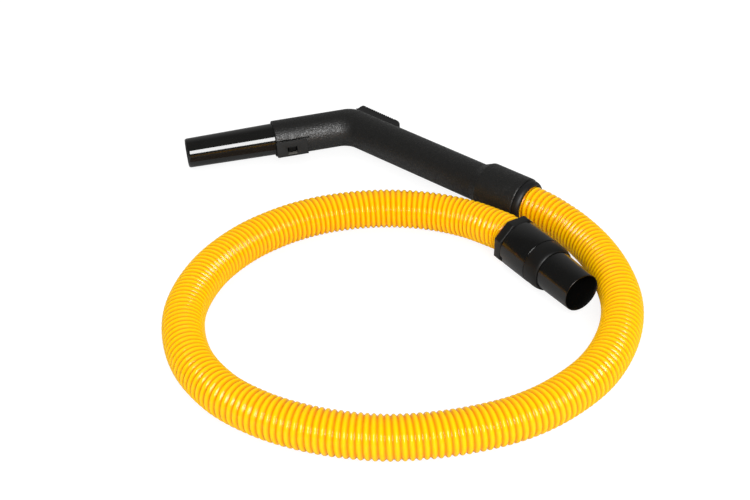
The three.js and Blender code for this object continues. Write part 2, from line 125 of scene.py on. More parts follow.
def rgb(red, green, blue):
    """A colour as it is seen on a screen, from 0 to 255, as a shader wants it."""
    return tuple((c / 12.92 if c <= 0.04045 else ((c + 0.055) / 1.055) ** 2.4)
                 for c in (red / 255, green / 255, blue / 255)) + (1,)


def emptied(owner):
    """The node tree of a material or a world, without the nodes that it starts with."""
    owner.use_nodes = True
    owner.node_tree.nodes.clear()
    return Wire(owner.node_tree)


WHITE = (1, 1, 1, 1)
DAYLIGHT = 0.72  # the pale light from all round
DARK_ROOM = 0.08  # what gloss shows of the room around and above the set
PALE_WALL = 0.28  # and of the wall behind it
WALL_STARTS, WALL_FILLS = 0.35, 0.8  # how far back a reflection looks before it sees the wall

world = bpy.data.worlds.new("studio")
bpy.context.scene.world = world
wire = emptied(world)
backward = wire.node("SeparateXYZ", {"Vector": wire.node("TexCoord", out="Generated")}, out="Y")
wall = wire.node("MapRange", {
    "Value": backward, "From Min": WALL_STARTS, "From Max": WALL_FILLS,
    "To Min": DARK_ROOM, "To Max": PALE_WALL,
})
room = wire.node("Background", {"Color": WHITE, "Strength": DAYLIGHT})
for ray, strength in (("Is Glossy Ray", wall), ("Is Camera Ray", 1.0)):
    seen = wire.node("Background", {"Color": WHITE, "Strength": strength})
    room = wire.node("MixShader", {0: wire.node("LightPath", out=ray), 1: room, 2: seen})
room.ends_in("World")

FLOOR_WIDTH = 24
FLOOR_LEVEL = -0.0005  # just under the lowest piece
PAPER = (0.86, 0.86, 0.86, 1)
GLOW, GLOW_SHARE = 1.16, 0.75  # the white that the camera sees in the paper, and its share
GLOSS_DIMMING = 0.5  # how much darker the paper is in a reflection

bpy.ops.object.select_all(action="DESELECT")
bpy.ops.mesh.primitive_plane_add(size=FLOOR_WIDTH, location=(0, 0, FLOOR_LEVEL))
floor = bpy.context.object
floor.name = "floor"
white_sheet = bpy.data.materials.new("white_sheet")
wire = emptied(white_sheet)
paper = wire.node("BsdfDiffuse", {"Color": PAPER})
dark = wire.node("Emission", {"Color": WHITE, "Strength": 0.0})
glow = wire.node("Emission", {"Color": WHITE, "Strength": GLOW})
in_gloss = GLOSS_DIMMING * wire.node("LightPath", out="Is Glossy Ray")
in_view = GLOW_SHARE * wire.node("LightPath", out="Is Camera Ray")
shown = wire.node("MixShader", {0: in_gloss, 1: paper, 2: dark})
shown = wire.node("MixShader", {0: in_view, 1: shown, 2: glow})
shown.ends_in("Material")
floor.data.materials.append(white_sheet)

set_middle = Vector((0.0, -0.2, 0.02))


def soft_lamp(name, direction, distance, size, radiance):
    """A soft rectangular lamp, size wide and high, that looks at the middle of the set."""
    away = Vector(direction).normalized()
    bpy.ops.object.light_add(type="AREA", location=set_middle + distance * away)
    lamp = bpy.context.object
    lamp.name = name
    lamp.rotation_euler = away.to_track_quat("Z", "Y").to_euler()
    lamp.data.shape = "RECTANGLE"
    lamp.data.size, lamp.data.size_y = size
    lamp.data.energy = math.pi * radiance * size[0] * size[1]
    return lamp


# The lamp behind the camera is two: one lights the set, and only gloss shows the other.
key_lamp = soft_lamp("key_lamp", (0.2, -0.79, 0.56), distance=2.4, size=(0.9, 1.25), radiance=10.2)
key_lamp.visible_glossy = False
key_gloss = soft_lamp("key_gloss", (0.2, -0.79, 0.54), distance=2.38, size=(1.25, 1.12), radiance=17.0)
key_gloss.visible_diffuse = False
top_lamp = soft_lamp("top_lamp", (-0.3, 0.35, 1.0), distance=2.4, size=(1.6, 1.6), radiance=1.45)
top_lamp.visible_glossy = False

# A brown card lies under the end pipe. Only gloss shows it, as the brown line along the pipe.
CARD_LEFT, CARD_BEHIND = 0.303, 0.061  # how far left of the hose's exit and behind it
CARD_LEVEL = 0.0004
CARD_SIZE = (0.13, 0.092)
CARD_TURN = 13.65  # degrees

bpy.ops.object.select_all(action="DESELECT")
bpy.ops.mesh.primitive_plane_add(
    size=1, location=(hose_exit.x - CARD_LEFT, hose_exit.y + CARD_BEHIND, CARD_LEVEL),
    rotation=(0, 0, math.radians(CARD_TURN)))
brown_card = bpy.context.object
brown_card.name = "dark_card"
brown_card.scale = (*CARD_SIZE, 1)
card_brown = bpy.data.materials.new("card_brown")
emptied(card_brown).node("BsdfDiffuse", {"Color": rgb(104, 80, 58)}).ends_in("Material")
brown_card.data.materials.append(card_brown)
for kind in ("camera", "diffuse", "transmission", "shadow", "volume_scatter"):
    setattr(brown_card, f"visible_{kind}", False)

# ---- Hose ----
# A yellow corrugated suction hose of 40 mm over its ribs, wound from one strip of soft plastic.
# It leaves the hand tube, lies on the floor in one loop and ends in the machine cuff.

MM = 0.001  # the pieces' sizes are in millimetres, and this makes them metres
HOSE_RADIUS = 20
HOSE_BORE = 16.8  # its radius inside
RIB_PITCH = 5.85
RIB_DEPTH = 1.9
GROOVE_SHARPNESS = 3.4  # a higher power makes the grooves narrower
GROOVE_SHADE_DEPTH = 1.5  # a higher power keeps the painted orange shade further down in them
ROWS_PER_RIB = 8
HOSE_SIDES = 48
HOSE_GRIP = 28  # how far each end reaches into its fitting
CUP_LIFT, CUFF_LIFT = 5.75, 5.0  # how high the hose's underside is in its two fittings

tail_axis = -Vector(joints["hand_swivel"]["axis"])  # the hinge's own axis points up the hand tube
cuff_axis = Vector(joints["cuff_swivel"]["axis"])
cuff_start = Vector(joints["cuff_swivel"]["pos_m"])


def in_line(start, direction, distance, lift):
    """A point of the route on a fitting's axis, at a distance from the fitting's start."""
    place = (start - hose_exit) / MM + distance * direction
    return (place.x, place.y, lift)


# Each point says how far to the right of the hose's exit and behind it the hose is, and how
# high its underside is there.
hose_route = [
    in_line(hose_exit, tail_axis, -HOSE_GRIP, CUP_LIFT),
    in_line(hose_exit, tail_axis, -HOSE_GRIP / 2, CUP_LIFT),
    in_line(hose_exit, tail_axis, 0, CUP_LIFT),
    in_line(hose_exit, tail_axis, 14, 5.5),
    (23.5, -21.8, 4),
    (40, -41, 1.4),
    (57.5, -74.5, 0.1),
    (69, -118, 0),
    (71.5, -166, 0),
    (60.5, -214, 0),
    (35, -262, 0),
    (-1.5, -299, 0),
    (-36, -321.5, 0),
    (-72, -335.5, 0),
    (-111, -344.5, 0),
    (-154, -348, 0),
    (-197, -342.5, 0),
    (-232, -332, 0),
    (-263, -317, 0),
    (-297, -291, 0),
    (-328, -245, 0),
    (-341, -180, 0),
    (-326, -114, 0),
    (-295, -65, 0),
    (-259, -33, 0),
    (-225, -14, 0),
    (-194, -4, 0),
    (-167, 0.5, 0),
    (-141, 1.2, 0),
    (-116, -1.5, 0),
    (-91, -8, 0.2),
    (-65, -21, 1.5),
    (-44, -38, 3.5),
    in_line(cuff_start, cuff_axis, -12, 4.8),
    in_line(cuff_start, cuff_axis, 0, CUFF_LIFT),
    in_line(cuff_start, cuff_axis, HOSE_GRIP / 2, CUFF_LIFT),
    in_line(cuff_start, cuff_axis, HOSE_GRIP, CUFF_LIFT),
]
hose_points = [
    (hose_exit.x + x * MM, hose_exit.y + y * MM, hose_exit.z + (lift - CUP_LIFT) * MM)
    for x, y, lift in hose_route
]
CURVE_STEPS = 60  # between two points of the route


def smooth_line(points, step):
    """A centripetal Catmull-Rom curve through the points, as places one step apart."""
    points = np.array(points, float)
    points = np.vstack([2 * points[0] - points[1], points, 2 * points[-1] - points[-2]])
    share = np.linspace(0, 1, CURVE_STEPS, endpoint=False)[:, None]
    line = []
    for p0, p1, p2, p3 in zip(points, points[1:], points[2:], points[3:]):
        d0, d1, d2 = (np.linalg.norm(b - a) ** 0.5 for a, b in ((p0, p1), (p1, p2), (p2, p3)))
        slope_1 = ((p1 - p0) / d0 - (p2 - p0) / (d0 + d1) + (p2 - p1) / d1) * d1
        slope_2 = ((p2 - p1) / d1 - (p3 - p1) / (d1 + d2) + (p3 - p2) / d2) * d1
        squared = -3 * p1 + 3 * p2 - 2 * slope_1 - slope_2
        cubed = 2 * p1 - 2 * p2 + slope_1 + slope_2
        line.append(p1 + slope_1 * share + squared * share**2 + cubed * share**3)
    line = np.vstack([*line, points[-2:-1]])
    along = np.concatenate([[0], np.cumsum(np.linalg.norm(np.diff(line, axis=0), axis=1))])
    places = np.linspace(0, along[-1], round(along[-1] / step) + 1)
    return np.stack([np.interp(places, along, line[:, k]) for k in range(3)], axis=1)


def tube_rings(line, radii):
    """Rings of points round a line that lies nearly flat. radii has a row for each ring."""
    ahead = np.gradient(line, axis=0)
    ahead /= np.linalg.norm(ahead, axis=1)[:, None]
    side = np.cross(ahead, (0, 0, 1))
    side /= np.linalg.norm(side, axis=1)[:, None]
    above = np.cross(side, ahead)
    turn = np.linspace(0, 2 * math.pi, radii.shape[1], endpoint=False)[None, :, None]
    spokes = np.cos(turn) * side[:, None, :] + np.sin(turn) * above[:, None, :]
    return line[:, None, :] + radii[:, :, None] * spokes


def ring_faces(rings, first, flip):
    """Four-sided faces between neighbouring rings of points, which start at number first."""
    row, column = np.meshgrid(np.arange(rings - 1), np.arange(HOSE_SIDES), indexing="ij")
    here, beside = row * HOSE_SIDES + column, row * HOSE_SIDES + (column + 1) % HOSE_SIDES
    order = [here, beside, beside + HOSE_SIDES, here + HOSE_SIDES]
    return first + np.stack(order[::-1] if flip else order, axis=-1).reshape(-1, 4)


hose_line = smooth_line(hose_points, RIB_PITCH * MM / ROWS_PER_RIB)
rows = np.arange(len(hose_line))[:, None] / ROWS_PER_RIB
thread = rows + np.arange(HOSE_SIDES)[None, :] / HOSE_SIDES
groove = np.abs(np.cos(math.pi * thread)) ** GROOVE_SHARPNESS
outer = tube_rings(hose_line, (HOSE_RADIUS - RIB_DEPTH * groove) * MM)
inner_line = np.vstack([hose_line[::ROWS_PER_RIB][:-1], hose_line[-1:]])
inner = tube_rings(inner_line, np.full((len(inner_line), HOSE_SIDES), HOSE_BORE * MM))
outer_count, inner_count = outer.shape[0] * HOSE_SIDES, inner.shape[0] * HOSE_SIDES
turn = np.arange(HOSE_SIDES)
beside = (turn + 1) % HOSE_SIDES
last_outer, last_inner = outer_count - HOSE_SIDES, outer_count + inner_count - HOSE_SIDES
faces = np.vstack([
    ring_faces(outer.shape[0], 0, True),
    ring_faces(inner.shape[0], outer_count, False),
    np.stack([beside, outer_count + beside, outer_count + turn, turn], axis=1),
    np.stack([last_inner + turn, last_inner + beside, last_outer + beside, last_outer + turn], axis=1),
])
points = np.vstack([outer.reshape(-1, 3), inner.reshape(-1, 3)])
hose_mesh = bpy.data.meshes.new("hose_tube")
hose_mesh.from_pydata(points.tolist(), [], faces.tolist())
INSIDE_SHADE = 0.5  # the bore gets half the painted groove shade: its colour is halfway between a rib's and a groove's
# the groove attribute is the painted shade mask: 1 at the bottom of a groove, 0 on a rib
groove_shade_mask = np.concatenate([groove.ravel(), np.full(inner_count, INSIDE_SHADE)])
groove_shade_layer = hose_mesh.attributes.new("groove", "FLOAT", "POINT")
groove_shade_layer.data.foreach_set("value", groove_shade_mask.astype(np.float32))
hose_mesh.update()
hose = bpy.data.objects.new("corrugated_hose", hose_mesh)
bpy.context.scene.collection.objects.link(hose)


def only(piece):
    """Selects one piece and nothing else."""
    bpy.ops.object.select_all(action="DESELECT")
    piece.select_set(True)
    bpy.context.view_layer.objects.active = piece


def smoothed(piece, degrees=35):
    """Rounds a piece's shading, apart from its edges."""
    only(piece)
    bpy.ops.object.shade_smooth_by_angle(angle=math.radians(degrees))


def new_material(name):
    """A material without nodes, its wiring, and the place on the piece that patterns follow."""
    material = bpy.data.materials.new(name)
    wire = emptied(material)
    return material, wire, wire.node("TexCoord", out="Object")


def hose_yellow():
    """A glossy yellow plastic, slightly cloudy, with painted shade that turns it orange down in the grooves."""
    material, wire, place = new_material("hose_yellow")
    groove_shade = wire.node("Attribute", out="Fac", attribute_name="groove")
    cloud = wire.node("TexNoise", {"Vector": place, "Scale": 25.0, "Detail": 3.0})
    fine = wire.node("TexNoise", {"Vector": place, "Scale": 1400.0, "Detail": 2.0})
    # painted shade: the yellow turns darker orange down in the grooves, where shade falls
    colour = (groove_shade ** GROOVE_SHADE_DEPTH).between(rgb(251, 198, 0), rgb(230, 130, 0))
    wire.node("BsdfPrincipled", {
        "Base Color": (0.12 * cloud).between(colour, rgb(255, 186, 0)),
        "Roughness": 0.14 + 0.06 * cloud,
        "Normal": wire.node("Bump", {"Height": fine, "Strength": 0.06, "Distance": 0.0004}),
        "Specular IOR Level": 0.25,
    }).ends_in("Material")
    return material


def fitted(piece, body, finish, node):
    """Gives a piece its finish and its body, and hides the node that it stands for."""
    piece.data.materials.clear()
    piece.data.materials.append(finish)
    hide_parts(node)
    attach(piece, body)


smoothed(hose, degrees=60)
fitted(hose, "hose_line", hose_yellow(), "hose")

# ---- Swivel at the hand end ----
# The hose is screwed into a pale bush that turns in the cup on a snap ring and a face seal.
# A black end ring with a rounded mouth closes the cup and turns with the hose.

EXIT_ALONG = 250.9  # where the hose leaves its end ring, along the grip from the elbow
SWIVEL_BORE = 22.9  # radius that a bush or sleeve turns in
HOSE_FIT = 20.35  # radius round the hose
RING_RADIUS = 24.6

mounts = {mount["name"]: mount for mount in frame["record"]["mounts"]}
tail_x = tail_axis.normalized()
arm_x = Vector(mounts["pipe_mouth"]["axis"]).normalized()
bend_z = arm_x.cross(tail_x).normalized()
elbow = hose_exit - EXIT_ALONG * MM * tail_x


def frame_at(origin, x, z):
    """Turns places measured along, across and above a fitting's axis into places in the set."""
    return Matrix.Translation(origin) @ Matrix((x, z.cross(x), z)).transposed().to_4x4()


hand_frame = frame_at(elbow, tail_x, bend_z)
arm_frame = frame_at(elbow, arm_x, bend_z)
ALONG_X = Matrix(((0, 0, 1, 0), (1, 0, 0, 0), (0, 1, 0, 0), (0, 0, 0, 1)))  # lays z along x
POINT = 0.01  # a ring of this radius closes to a point


def turned(name, stations, fitting, sides=96):
    """A round piece: a circle drawn out ring by ring through [along, radius] stations."""
    bpy.ops.object.select_all(action="DESELECT")
    along, radius = stations[0]
    bpy.ops.mesh.primitive_circle_add(vertices=sides, radius=radius * MM, location=(0, 0, 0))
    piece = bpy.context.object
    piece.name = name
    bpy.ops.object.mode_set(mode="EDIT")
    bpy.ops.mesh.select_all(action="SELECT")
    bpy.ops.transform.translate(value=(0, 0, along * MM))
    for next_along, next_radius in stations[1:]:
        step = (0, 0, (next_along - along) * MM)
        bpy.ops.mesh.extrude_region_move(TRANSFORM_OT_translate={"value": step})
        grow = next_radius / radius
        bpy.ops.transform.resize(value=(grow, grow, 1), center_override=(0, 0, next_along * MM))
        along, radius = next_along, next_radius
    bpy.ops.mesh.select_all(action="SELECT")
    bpy.ops.mesh.remove_doubles(threshold=POINT * MM)
    bpy.ops.mesh.normals_make_consistent(inside=False)
    bpy.ops.object.mode_set(mode="OBJECT")
    piece.data.transform(fitting @ ALONG_X)
    return piece


def closed(stations):
    """The stations of a ring's outline, back to where they start."""
    return stations + stations[:1]


def rounded(start, end, steps):
    """A quarter of an ellipse from one station to another, level at its start."""
    quarter = [math.pi / 2 * i / steps for i in range(steps + 1)]
    (a, high), (b, low) = start, end
    return [(a + (b - a) * math.sin(t), low + (high - low) * math.cos(t)) for t in quarter]


def moulded(name, colour, roughness, bump_size, bump_depth, mottle=0.06, coat=0.0, shine=0.5):
    """A black moulding: even colour, slightly patchy gloss, and bumps of a size in metres."""
    material, wire, place = new_material(name)
    cloud = wire.node("TexNoise", {"Vector": place, "Scale": 60.0, "Detail": 4.0})
    fine = wire.node("TexNoise", {"Vector": place, "Scale": 1 / bump_size, "Detail": 3.0})
    darker = tuple(0.6 * c for c in colour[:3]) + (1,)
    wire.node("BsdfPrincipled", {
        "Base Color": cloud.between(darker, colour),
        "Roughness": (roughness - mottle / 2) + mottle * cloud,
        "Normal": wire.node("Bump", {"Height": fine, "Strength": bump_depth, "Distance": 0.0003}),
        "Specular IOR Level": shine,
        "Coat Weight": coat,
        "Coat Roughness": 0.04,
    }).ends_in("Material")
    return material


end_ring = turned("end_ring", closed([
    (243.3, SWIVEL_BORE), (243.3, 24.1), (244.0, 24.1),
    *reversed(rounded((244.4, RING_RADIUS), (244.0, 24.3), 3)),
    *rounded((245.6, RING_RADIUS), (EXIT_ALONG, 20.9), 12),
    (EXIT_ALONG, HOSE_FIT), (246.6, HOSE_FIT), (246.6, SWIVEL_BORE),
]), hand_frame)
smoothed(end_ring)
ring_black = moulded("ring_black", rgb(25, 25, 26), roughness=0.48, bump_size=0.002,
                     bump_depth=0.05, shine=0.35)
fitted(end_ring, "hose_line", ring_black, "swivel_end_ring")


def given(finish, *nodes):
    """Gives a finish to pieces that show as the frame has them."""
    for node in nodes:
        for place in frame["nodes"][node].material_slots:
            place.material = finish


def natural_acetal():
    """A milky white bearing plastic, a little clearer in some places than in others."""
    material, wire, place = new_material("natural_acetal")
    cloud = wire.node("TexNoise", {"Vector": place, "Scale": 120.0, "Detail": 3.0})
    turning = wire.node("TexWave", {"Vector": place, "Scale": 500.0, "Distortion": 1.5})
    wire.node("BsdfPrincipled", {
        "Base Color": cloud.between(rgb(226, 222, 210), rgb(240, 238, 230)),
        "Roughness": 0.32 + 0.12 * cloud,
        "Normal": wire.node("Bump", {"Height": turning, "Strength": 0.08, "Distance": 0.0001}),
    }).ends_in("Material")
    return material


def seal_rubber():
    """A soft black rubber with a dusty, slightly speckled surface."""
    material, wire, place = new_material("seal_rubber")
    dust = wire.node("TexNoise", {"Vector": place, "Scale": 700.0, "Detail": 4.0})
    wire.node("BsdfPrincipled", {
        "Base Color": dust.between(rgb(20, 20, 20), rgb(38, 37, 36)),
        "Roughness": 0.7 + 0.15 * dust,
        "Normal": wire.node("Bump", {"Height": dust, "Strength": 0.25, "Distance": 0.0002}),
    }).ends_in("Material")
    return material


acetal = natural_acetal()
rubber = seal_rubber()
given(acetal, "swivel_bush", "tail_snap_ring")
given(rubber, "tail_seal")

# ---- Hand tube ----
# Socket, elbow, grip and hose cup are one moulding in black plastic with a leather-like grain.
# The catch, the bleed port and the slider's stem each have a hole through its wall, and a
# narrow seam runs along the socket above the latch housing.

HANDLE, HANDLE_BORE = 20.5, 17.5  # radii of the socket and the grip
SOCKET_END, SOCKET_BORE = 90.3, 18.1
CUP_END, CUP_RADIUS = 243, 25.75
SNAP_GROOVE = 24.0  # radius of the groove that a snap ring springs into
BEHIND_ELBOW = -30  # both legs start here and are cut to the mitre between them
MITRE_GAP = 0.02  # points of the two legs nearer than this become one
ELBOW_ROUND, ELBOW_STEPS = 10.3, 14  # how far the elbow's rounding reaches along each leg
THROUGH_WALL = (8, 22)  # from inside the bore to outside the handle

hand_tube = turned("hand_tube_piece", closed([
    (BEHIND_ELBOW, HANDLE), (184.2, HANDLE), (185.4, 20.75),
    (195, 25.5), (195.5, 25.7), (196.2, CUP_RADIUS),
    *rounded((241.6, CUP_RADIUS), (CUP_END, 24.8), 6),
    (CUP_END, SWIVEL_BORE), (232.6, SWIVEL_BORE), (232.6, SNAP_GROOVE),
    (230.4, SNAP_GROOVE), (230.4, SWIVEL_BORE), (197, SWIVEL_BORE),
    (197, HANDLE_BORE), (BEHIND_ELBOW, HANDLE_BORE),
]), hand_frame)
arm = turned("arm", closed([
    (BEHIND_ELBOW, HANDLE), *rounded((88.9, HANDLE), (SOCKET_END, 19.5), 5),
    (SOCKET_END, 19.1), (88.3, SOCKET_BORE), (52.0, SOCKET_BORE),
    (52.0, 16.5), (36, 16.5), (30, HANDLE_BORE), (BEHIND_ELBOW, HANDLE_BORE),
]), arm_frame)
mitre = (tail_x - arm_x).normalized()
for leg, side in ((hand_tube, mitre), (arm, -mitre)):
    only(leg)
    bpy.ops.object.mode_set(mode="EDIT")
    bpy.ops.mesh.select_all(action="SELECT")
    bpy.ops.mesh.bisect(plane_co=elbow, plane_no=side, clear_inner=True, threshold=1e-6)
    bpy.ops.object.mode_set(mode="OBJECT")
only(hand_tube)
arm.select_set(True)
bpy.ops.object.join()
bpy.ops.object.mode_set(mode="EDIT")
bpy.ops.mesh.select_all(action="SELECT")
bpy.ops.mesh.remove_doubles(threshold=MITRE_GAP * MM)
bpy.ops.mesh.select_all(action="DESELECT")
bpy.ops.object.mode_set(mode="OBJECT")


def select_where(piece, kind, wanted):
    """Selects the edges or faces of a piece that are wanted, and goes into edit mode."""
    only(piece)
    bpy.ops.object.mode_set(mode="EDIT")
    bpy.ops.mesh.select_mode(type=kind)
    bpy.ops.mesh.select_all(action="DESELECT")
    bpy.ops.object.mode_set(mode="OBJECT")
    for element in piece.data.edges if kind == "EDGE" else piece.data.polygons:
        element.select = wanted(element)
    bpy.ops.object.mode_set(mode="EDIT")


def select_edges(piece, wanted):
    """Selects the edges of which both ends are at a wanted place."""
    select_where(piece, "EDGE", lambda edge: all(
        wanted(piece.data.vertices[end].co) for end in edge.vertices))


def modified(piece, kind, **settings):
    """Adds a modifier to a piece and applies it."""
    only(piece)
    bpy.ops.object.modifier_add(type=kind)
    modifier = piece.modifiers[-1]
    for name, value in settings.items():
        setattr(modifier, name, value)
    bpy.ops.object.modifier_apply(modifier=modifier.name)


SLIVER = 0.01  # points nearer than this become one


def without_slivers(piece):
    """Merges the points that a cut or a rounding leaves almost on top of each other."""
    only(piece)
    bpy.ops.object.mode_set(mode="EDIT")
    bpy.ops.mesh.select_all(action="SELECT")
    bpy.ops.mesh.remove_doubles(threshold=SLIVER * MM)
    bpy.ops.mesh.dissolve_degenerate(threshold=SLIVER * MM)
    bpy.ops.object.mode_set(mode="OBJECT")


def block(name, x, y, z, fitting=Matrix()):
    """A block between two values along, across and above a fitting's axis."""
    bpy.ops.object.select_all(action="DESELECT")
    low, high = (Vector(ends) * MM for ends in zip(x, y, z))
    bpy.ops.mesh.primitive_cube_add(size=1, location=(low + high) / 2, scale=high - low)
    piece = bpy.context.object
    piece.name = name
    bpy.ops.object.transform_apply(location=True, rotation=True, scale=True)
    piece.data.transform(fitting)
    return piece


def combined(piece, tool, operation="DIFFERENCE"):
    """Cuts a piece with a tool, or joins the two, and removes the tool."""
    modified(piece, "BOOLEAN", operation=operation, object=tool, solver="EXACT")
    bpy.data.objects.remove(tool)
    without_slivers(piece)


select_edges(hand_tube, lambda place: abs((place - elbow).dot(mitre)) < POINT * MM)
bpy.ops.mesh.bevel(offset_type="ABSOLUTE", offset=ELBOW_ROUND * MM, segments=ELBOW_STEPS,
                   profile=0.5, affect="EDGES", clamp_overlap=False)
bpy.ops.object.mode_set(mode="OBJECT")

for along, above, leg in (
    ((66.9, 78.9), (-8.0, 0.6), arm_frame),  # the catch's window
    ((4, 13), (-4.5, 4.5), hand_frame),  # the bleed port
    ((23, 49), (-3.5, 3.5), hand_frame),  # the slot for the slider's stem
):
    combined(hand_tube, block("tool", along, THROUGH_WALL, above, leg))
combined(hand_tube, block("seam", (52, 92), (16.9, 24), (6.7, 8.2), arm_frame))


def grained_black():
    """A leather grain: rounded cells with thin valleys between them, and a patchy sheen."""
    material, wire, place = new_material("grained_black")
    sway = wire.node("TexNoise", {"Vector": place, "Scale": 400.0, "Detail": 2.0}, out="Color")
    sway = wire.node("VectorMath", {0: sway, 1: (0.0012,) * 3}, operation="MULTIPLY")
    swayed = wire.node("VectorMath", {0: place, 1: sway}, operation="ADD")
    cells = wire.node("TexVoronoi", {"Vector": swayed, "Scale": 430.0}, feature="DISTANCE_TO_EDGE")
    hills = wire.node("MapRange", {"Value": cells, "From Min": 0.0, "From Max": 0.5},
                      interpolation_type="SMOOTHSTEP")
    cloud = wire.node("TexNoise", {"Vector": place, "Scale": 90.0, "Detail": 4.0})
    fine = wire.node("TexNoise", {"Vector": place, "Scale": 900.0, "Detail": 2.0})
    specks = wire.node("TexNoise", {"Vector": place, "Scale": 520.0, "Detail": 1.0})
    specks = wire.node("MapRange", {"Value": specks, "From Min": 0.36, "From Max": 0.64})
    height = hills + 0.8 * cloud + 0.3 * fine
    wire.node("BsdfPrincipled", {
        "Base Color": (0.5 * hills + 0.5 * specks).between(rgb(11, 11, 10), rgb(27, 27, 25)),
        "Roughness": 0.54 - 0.1 * hills - 0.18 * specks + 0.08 * cloud,
        "Normal": wire.node("Bump", {"Height": height, "Strength": 0.9, "Distance": 0.00022}),
        "Specular IOR Level": 0.62,
    }).ends_in("Material")
    return material


smoothed(hand_tube)
fitted(hand_tube, "hand", grained_black(), "hand_tube")

# ---- End pipe ----
# A glossy black tapered pipe is pushed into the socket and takes the tool. A lip ring in its
# groove seals it, and it carries the leaf spring of the catch on the inside of its wall.

PIPE_RADIUS, PIPE_BORE = 17.8, 15.8
PIPE_END = 189
SEAL_GROOVE = 16.6  # radius of the lip ring's groove

end_pipe = turned("end_pipe_piece", closed([
    (52.3, PIPE_BORE), (52.3, 17.4), (52.7, PIPE_RADIUS),
    (60.3, PIPE_RADIUS), (60.3, SEAL_GROOVE), (63.3, SEAL_GROOVE), (63.3, PIPE_RADIUS),
    (SOCKET_END, PIPE_RADIUS), (140, 17.1), *rounded((185.8, 16.45), (PIPE_END, 15.0), 6),
    (188.9, 14.9), (186, 14.41), (SOCKET_END, PIPE_BORE),
]), arm_frame, sides=128)
combined(end_pipe, block("button_hole", (68.1, 77.7), THROUGH_WALL, (-7.2, -0.2), arm_frame))
smoothed(end_pipe)
pipe_gloss = moulded("pipe_gloss", rgb(24, 24, 23), roughness=0.06, bump_size=0.006,
                     bump_depth=0.015, mottle=0.03, coat=0.25)
fitted(end_pipe, "hand", pipe_gloss, "end_pipe")
given(rubber, "end_pipe_seal")

# ---- Snap catch ----
# A flat-faced housing stands on the socket's side. The catch button in its window is held out by
# a leaf spring that is riveted to the pipe's wall, and is pressed to let the pipe go.

HANDLE_FIT = 20.8  # inside radius of what sits on the socket or the grip
SILL = -7.5  # the window's lower edge
FACING = 0.9  # a face looks along an axis if this much of its normal does


def rod(start, end, radius, fitting):
    """A round bar along a fitting's axis, to cut with or to join on."""
    return turned("tool", [(start, POINT), (start, radius), (end, radius), (end, POINT)], fitting)


def edged(piece, width, degrees=40, segments=3):
    """Rounds a piece's edges over and smooths its shading."""
    modified(piece, "BEVEL", width=width * MM, segments=segments, limit_method="ANGLE",
             angle_limit=math.radians(degrees), use_clamp_overlap=True, harden_normals=False)
    without_slivers(piece)
    smoothed(piece)


def select_faces(piece, axis):
    """Selects the faces that look along an axis, x, y or z."""
    select_where(piece, "FACE", lambda face: getattr(face.normal, axis) > FACING)


latch_housing = block("latch_housing_piece", (55.3, 90.3), (14.8, 26.2), (-9.4, 6.6))
for vertex in latch_housing.data.vertices:
    if vertex.co.y > HANDLE * MM and vertex.co.z > 0:
        vertex.co.y = HANDLE * MM  # its flat face ends flush with the socket's side
latch_housing.data.transform(arm_frame)
combined(latch_housing, rod(50, 95, HANDLE_FIT, arm_frame))
combined(latch_housing, block("window", (67.4, 78.4), (10, 30), (SILL, 0.1), arm_frame))
edged(latch_housing, 0.35)
catch_black = moulded("catch_black", rgb(24, 24, 23), roughness=0.6, bump_size=0.0015,
                      bump_depth=0.3, shine=0.22)
fitted(latch_housing, "hand", catch_black, "latch_housing")
# painted light: the upward-facing sill gets a pale grey copy of the catch's black, as if lit by the lamp
sill_black = moulded("sill_black", rgb(120, 118, 112), roughness=0.3, bump_size=0.0015,
                     bump_depth=0.1, shine=0.6)
latch_housing.data.materials.append(sill_black)
for face in latch_housing.data.polygons:
    height = (arm_frame.inverted() @ face.center).z
    if face.normal.dot(bend_z) > FACING and abs(height - SILL * MM) < 0.5 * MM:
        face.material_index = 1  # the window's sill is smoother, and paler as painted light where the lamp falls on it

catch_button = block("catch_button_piece", (67.6, 78.2), (11.9, 13.2), (-7.7, 0.3))
select_faces(catch_button, "y")
bpy.ops.mesh.inset(thickness=1.0 * MM)
bpy.ops.mesh.extrude_region_move(TRANSFORM_OT_translate={"value": (0, 8.5 * MM, 0)})
bpy.ops.object.mode_set(mode="OBJECT")
catch_button.data.transform(arm_frame)
edged(catch_button, 0.35)
# partly its own black, and partly painted shade: the button is darker than the housing for the shade in the
# window's recess
button_black = moulded("button_black", rgb(6, 6, 6), roughness=0.55, bump_size=0.0015,
                       bump_depth=0.1, shine=0.2)
fitted(catch_button, "catch", button_black, "catch_button")


def rolled_steel():
    """A spring steel with fine lines along the way that it was rolled."""
    material, wire, place = new_material("spring_steel")
    drawn = wire.node("VectorMath", {0: place, 1: (0.15, 1, 1)}, operation="MULTIPLY")
    lines = wire.node("TexNoise", {"Vector": drawn, "Scale": 900.0, "Detail": 3.0})
    bright = rgb(190, 192, 196)
    darker = tuple(0.75 * c for c in bright[:3]) + (1,)
    wire.node("BsdfPrincipled", {
        "Base Color": lines.between(darker, bright),
        "Metallic": 1.0,
        "Roughness": 0.22 + 0.15 * lines,
        "Normal": wire.node("Bump", {"Height": lines, "Strength": 0.15, "Distance": 0.0001}),
    }).ends_in("Material")
    return material


LEAF_STEPS = 12
LEAF_RISE, LEAF_RUN = -3.45, 7.3  # the double bend between the rivet and the button
LEAF_TONGUE = 9.6  # the flat end under the button

